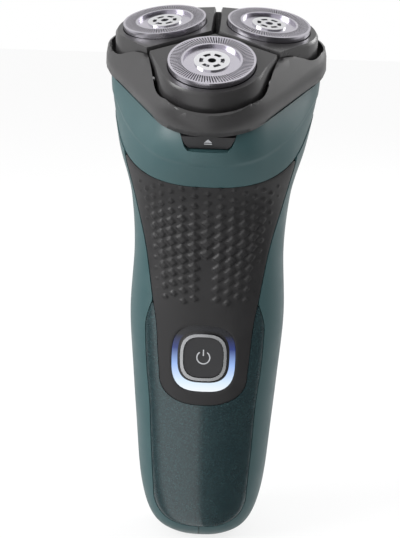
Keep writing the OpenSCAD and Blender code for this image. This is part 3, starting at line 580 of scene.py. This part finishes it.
inside_grip = lambda x, z: (np.abs(x) < width_at(grip_half, z)) & ~in_well(x, z) & below_collar(x, z)
top_x = np.linspace(-23, 23, 900)
try_z = np.linspace(104, 124, 801)
top_z = try_z[np.argmax(~below_collar(np.repeat(top_x[None], 801, 0), np.repeat(try_z[:, None], 900, 1)), 0)]
top_line = np.stack([top_x, top_z], -1)
top_line = top_line[np.abs(top_x) < width_at(grip_half, top_z)]
side_line = dense(both_sides(grip_half))
side_line = side_line[side_line[:, 1] < np.interp(np.abs(side_line[:, 0]), top_line[len(top_line) // 2:, 0],
                                                  top_line[len(top_line) // 2:, 1])]
border = np.concatenate([top_line, side_line, dense(well_outline, True)])
x, z, faces, rim = trimmed_grid(inside_grip, border, 0.32, (-23.68, 23.68), (45, 122))


ROW_GAP, COLUMN_GAP, LATTICE_Z = 2.95, 3.75, 92.6
DIAMOND_HALF_WIDTH, DIAMOND_HALF_HEIGHT, BEVEL_SHARE = 2.2, 1.4, 0.42
PATTERN_BOTTOM, PATTERN_TOP, BELL_Z = 74.5, 111.5, 91.5


def diamonds(x, z):
    """Height of the diamonds: a staggered lattice, with columns closer together lower down. The
    size of a diamond is a bell over its height on the grip, and it falls off at the grip's sides.
    Each diamond rises along a smooth step from its edge to its top."""
    reach = width_at(grip_half, z) - 2.2
    column_gap = COLUMN_GAP * np.clip(0.80 + 0.2 * (z - 70) / 25, 0.8, 1)
    bend = x + 0.001 * x ** 3
    column = np.round(bend / column_gap)
    shift = np.where(column % 2 == 0, 0.0, ROW_GAP / 2)
    row_z = z - 0.18 * np.abs(x) * (z > 60)
    row = np.round((row_z - LATTICE_Z - shift) / ROW_GAP)
    away_x = np.abs(bend - column * column_gap)
    middle_z = row * ROW_GAP + shift + LATTICE_Z
    away_z = np.abs(row_z - middle_z)
    bell = np.exp(-((middle_z - BELL_Z) / np.where(middle_z > BELL_Z, 12.0, 16.0)) ** 2)
    size = 0.44 + 0.68 * bell
    size = size * np.clip((reach - np.abs(x)) / 3 + 0.35, 0, 1)
    outside = (middle_z > PATTERN_TOP - 0.25 * np.abs(x)) | (middle_z < PATTERN_BOTTOM)
    size = np.where(outside, 0, size)
    # below the middle, the diamonds of the centre column are left out
    size = np.where((column == 0) & (middle_z < 89), 0, size)
    across = away_x / np.maximum(DIAMOND_HALF_WIDTH * size, 0.01)
    upward = away_z / np.maximum(DIAMOND_HALF_HEIGHT * size, 0.01)
    edge = np.clip((1 - across - upward) / BEVEL_SHARE, 0, 1)
    return np.where(size > 0.1, edge * edge * (3 - 2 * edge), 0) * (0.22 + 0.32 * size)


height = diamonds(x, z) - 0.12 * rim
points = np.stack([x, front_y(x, z), z], -1) + height[:, None] * front_normal(x, z)
rubber = moulded("grip_rubber", (0.016, 0.016, 0.017), (0.024, 0.023, 0.024), 0.50, size=3500.0, depth=0.12, specular=0.4)
mesh = new_mesh("grip_skin", points, faces, 0.8, crease=0.9)
add_piece("grip_skin", mesh, rubber, "handle", "grip_rubber", "grip_panel")


# ---------------------------------------------------------------------------------------------
# The front panel: a glossy insert of clear-coated dark teal with fine metal flakes, clipped in
# below the grip, with two horns that run up beside it.
def flaked(name, dark, pale, flake):
    """A clear-coated paint: fine cells of flake glitter at random under the coat."""
    made = moulded(name, dark, pale, 0.26, depth=0.02, coat=1.0)
    tree = made.node_tree
    shader = tree.nodes["Principled BSDF"]
    place = node_in(tree, "ShaderNodeTexCoord")
    cells = node_in(tree, "ShaderNodeTexVoronoi", Scale=6000.0)
    tree.links.new(place.outputs["Object"], cells.inputs["Vector"])
    parts = node_in(tree, "ShaderNodeSeparateColor")
    tree.links.new(cells.outputs["Color"], parts.inputs[0])
    glitter = smooth_step(tree, parts.outputs[0], 0.72, 1.0)
    mix = node_in(tree, "ShaderNodeMix", data_type="RGBA")
    tree.links.new(shader.inputs["Base Color"].links[0].from_socket, mix.inputs[6])
    mix.inputs[7].default_value = (*flake, 1)
    tree.links.new(glitter, mix.inputs[0])
    tree.links.new(mix.outputs[2], shader.inputs["Base Color"])
    tree.links.new(arithmetic(tree, "MULTIPLY_ADD", glitter, 0.55, 0.2), shader.inputs["Metallic"])
    turn = node_in(tree, "ShaderNodeBump", Distance=0.0001, Strength=0.25)
    tree.links.new(parts.outputs[1], turn.inputs["Height"])
    tree.links.new(turn.outputs[0], shader.inputs["Normal"])
    return made


gloss = flaked("gloss_panel", (0.007, 0.024, 0.029), (0.010, 0.030, 0.036), (0.060, 0.130, 0.138))


def inside_panel(x, z):
    """Inside the panel's outline and outside the grip and the well."""
    gap = width_at(grip_half, z)
    return (np.abs(x) < width_at(panel_half, z)) & (np.abs(x) > np.where(gap > 0, gap + 0.15, -1)) & ~in_well(x, z)


panel_line, grip_line = dense(both_sides(panel_half)), dense(both_sides(grip_half))
grip_line = grip_line + 0.15 * np.stack([np.sign(grip_line[:, 0]), -1.0 * (grip_line[:, 1] < 54)], -1)
panel_line = panel_line[np.abs(panel_line[:, 0]) >= width_at(grip_half, panel_line[:, 1])]
grip_line = grip_line[np.abs(grip_line[:, 0]) <= width_at(panel_half, grip_line[:, 1])]
x, z, faces, rim = trimmed_grid(inside_panel, np.concatenate([panel_line, grip_line]), 0.45, (-18, 18.2), (5.2, 77))
points = np.stack([x, front_y(x, z), z], -1) - 0.1 * rim[:, None] * front_normal(x, z)
mesh = new_mesh("front_panel_skin", points, faces, 0.8, crease=0.9)
add_piece("front_panel_skin", mesh, gloss, "handle", "gloss_panel", "front_panel")


# ---------------------------------------------------------------------------------------------
# The front cover under the two overlays: the chassis half of the handle, moulded in black ABS.
def stroke(path, half_width, place):
    """A flat raised line: a path in x and z, widened to both sides and given a front 0.03 proud
    and a back 0.15 deep. place turns x, depth and z into millimetres of the frame."""
    path = np.asarray(path, float)
    ahead = np.gradient(path, axis=0)
    side = np.stack([-ahead[:, 1], ahead[:, 0]], -1)
    side = side / np.linalg.norm(side, axis=1, keepdims=True) * np.broadcast_to(half_width, len(path))[:, None]
    ring = [np.stack([*(path + k * side).T, np.full(len(path), depth)], -1)
            for k, depth in ((1, -0.03), (-1, -0.03), (-1, 0.15), (1, 0.15))]
    corners = np.stack(ring, 1).reshape(-1, 3)
    last = 4 * (len(path) - 1)
    faces = grid_faces(len(path), 4, closed=True).tolist() + [[0, 1, 2, 3], [last + 3, last + 2, last + 1, last]]
    return place(corners[:, 0], corners[:, 2], corners[:, 1]), faces


black = moulded("black_abs", (0.018, 0.018, 0.019), (0.026, 0.026, 0.027), 0.38, depth=0.08)
dress(black, "front_cover")


# ---------------------------------------------------------------------------------------------
# The charge light: a clear light guide round the button. Its lower half glows white and the
# light dies through blue towards the top.
glow = moulded("light_guide", (0.010, 0.011, 0.014), (0.014, 0.015, 0.020), 0.22, coat=0.6)
tree = glow.node_tree
place, parts = node_in(tree, "ShaderNodeTexCoord"), node_in(tree, "ShaderNodeSeparateXYZ")
tree.links.new(place.outputs["Object"], parts.inputs[0])
level = node_in(tree, "ShaderNodeMapRange", From_Min=0.049, From_Max=0.069)
tree.links.new(parts.outputs[2], level.inputs["Value"])
fade = node_in(tree, "ShaderNodeValToRGB")
fade.color_ramp.elements[0].color = (0.93, 0.97, 1.0, 1)
fade.color_ramp.elements[1].color = (0.0, 0.0, 0.0, 1)
fade.color_ramp.elements[1].position = 0.86
for where, colour in ((0.16, (0.72, 0.86, 1.0, 1)), (0.42, (0.33, 0.50, 0.90, 1)), (0.66, (0.02, 0.04, 0.20, 1))):
    fade.color_ramp.elements.new(where).color = colour
tree.links.new(level.outputs[0], fade.inputs[0])
shader = tree.nodes["Principled BSDF"]
tree.links.new(fade.outputs[0], shader.inputs["Emission Color"])
shader.inputs["Emission Strength"].default_value = 1.0
dress(glow, "light_guide")


# ---------------------------------------------------------------------------------------------
# The power button: a satin black cap with a pale power sign, held in a bright metal ring that
# sits in a gloss black bezel.
gloss_black = moulded("gloss_black", (0.006, 0.006, 0.007), (0.010, 0.010, 0.011), 0.16, depth=0.03, coat=0.8)
chrome = moulded("chrome_ring", (0.62, 0.63, 0.65), (0.70, 0.71, 0.73), 0.17, depth=0.03, metal=1.0)
cap_black = moulded("button_satin", (0.022, 0.022, 0.024), (0.030, 0.030, 0.032), 0.33, depth=0.08)
print_grey = moulded("printed_grey", (0.40, 0.41, 0.43), (0.46, 0.47, 0.49), 0.45, depth=0.05)
dress(gloss_black, "button_bezel")
dress(chrome, "button_ring")
dress(cap_black, "power_button")


def face_depth(name, turned=lambda p: p):
    """Foremost y of a CAD node, in millimetres of the frame or of a turned frame."""
    points = np.array([v.co[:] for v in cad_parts[name].data.vertices]) * 1000
    return turned(points)[:, 1].min()


BUTTON_Z, SIGN_R = 59.6, 1.85
cap_face = face_depth("power_button")
on_cap = lambda x, y, z: np.stack([x, y + cap_face, z + BUTTON_Z], -1)
arc = np.radians(np.linspace(125, 415, 60))
sign, faces = stroke(np.stack([SIGN_R * np.cos(arc), SIGN_R * np.sin(arc)], -1), 0.17, on_cap)
add_piece("power_sign", new_mesh("power_sign", sign, faces), print_grey, "button", "black_plastic")
bar, faces = stroke([(0, 0.5), (0, 2.35)], 0.17, on_cap)
add_piece("power_sign_bar", new_mesh("power_sign_bar", bar, faces), print_grey, "button", "black_plastic")


# ---------------------------------------------------------------------------------------------
# The release button: satin black, with a raised eject sign, a triangle over a bar.
dress(cap_black, "release_button")
release_face = face_depth("release_button", to_head)
on_release = lambda x, y, z: from_head(np.stack([x, y + release_face, z - 16.85], -1))
sign, faces = stroke([(0, 0.0), (0, 0.95)], np.array([1.05, 0.03]), on_release)
add_piece("eject_sign", new_mesh("eject_sign", sign, faces), print_grey, "release", "black_plastic")
bar, faces = stroke([(-1.05, -0.4), (1.05, -0.4)], 0.14, on_release)
add_piece("eject_sign_bar", new_mesh("eject_sign_bar", bar, faces), print_grey, "release", "black_plastic")


# ---------------------------------------------------------------------------------------------
# Behind the front cover: the circuit board with its switch, the lithium cell in its cradle and
# the charging socket with two contact pins.
board = moulded("board_lacquer", (0.008, 0.050, 0.026), (0.014, 0.070, 0.036), 0.35, coat=0.4)
wrap = moulded("cell_wrap", (0.020, 0.075, 0.130), (0.026, 0.092, 0.155), 0.36)
brass = moulded("contact_brass", (0.60, 0.42, 0.18), (0.70, 0.50, 0.24), 0.28, metal=1.0)
dress(board, "circuit_board")
dress(wrap, "battery_cell")
dress(black, "power_switch", "cell_cradle", "charging_socket")
dress(brass, "contact_pins")


# ---------------------------------------------------------------------------------------------
# The drive: a can motor turns a small sun wheel, which turns three nylon gears, each with a
# spindle up to its cutter.
can_steel = moulded("motor_steel", (0.36, 0.36, 0.37), (0.44, 0.44, 0.45), 0.30, metal=1.0)
nylon = moulded("nylon", (0.56, 0.54, 0.48), (0.64, 0.62, 0.56), 0.48)
dress(can_steel, "motor_can", "motor_rotor", "deck_screws", "hinge_pin", "trimmer_pin", "tilt_pins",
      *(f"spindle_{i}" for i in (1, 2, 3)))
dress(nylon, "sun_wheel", *(f"drive_gear_{i}" for i in (1, 2, 3)))
dress(black, "motor_clamp", "gear_plate", "deck")


# ---------------------------------------------------------------------------------------------
# The shaving head: a dark grey frame hinged at the back, with three tilting holders.
head_grey = moulded("head_grey", (0.032, 0.031, 0.032), (0.042, 0.041, 0.042), 0.36, depth=0.08)
# The holders and retainers are moulded in the frame's plastic; their finish is the frame's colour made a little darker,
# which is painted shade.
holder_grey_painted_shade = moulded("holder_grey_painted_shade", (0.026, 0.025, 0.026), (0.036, 0.035, 0.036), 0.32, depth=0.08)
unmoved = lambda points: points
lining("head_frame_skin", "head_frame", head_grey, "head", "head_plastic", unmoved)
for i in (1, 2, 3):
    lining(f"holder_skin_{i}", f"holder_{i}", holder_grey_painted_shade, f"unit_{i}", "head_plastic", unmoved)
dress(holder_grey_painted_shade, *(f"retainer_{i}" for i in (1, 2, 3)))


# ---------------------------------------------------------------------------------------------
# The shaving units: a slotted steel guard with a bright cap over a nine-blade cutter that turns
# on a plastic hub.
guard_steel = moulded("guard_steel", (0.50, 0.48, 0.54), (0.60, 0.58, 0.63), 0.24, depth=0.05, metal=1.0)
bright_steel = moulded("bright_steel", (0.72, 0.72, 0.74), (0.80, 0.80, 0.82), 0.16, depth=0.03, metal=1.0)
blade_steel = moulded("blade_steel", (0.40, 0.40, 0.42), (0.50, 0.50, 0.52), 0.22, metal=1.0)
hub_black = moulded("hub_black", (0.016, 0.016, 0.018), (0.022, 0.022, 0.024), 0.42)
dress(guard_steel, *(f"guard_{i}" for i in (1, 2, 3)))
dress(bright_steel, *(f"guard_cap_{i}" for i in (1, 2, 3)))
dress(blade_steel, *(f"cutter_{i}" for i in (1, 2, 3)))
dress(hub_black, *(f"cutter_hub_{i}" for i in (1, 2, 3)))


# ---------------------------------------------------------------------------------------------
# The pop-out trimmer in the back: a black carrier with a steel comb, a moving blade and a slide.
dress(gloss_black, "trimmer_body")
dress(blade_steel, "trimmer_comb", "trimmer_blade")
dress(black, "trimmer_slide")
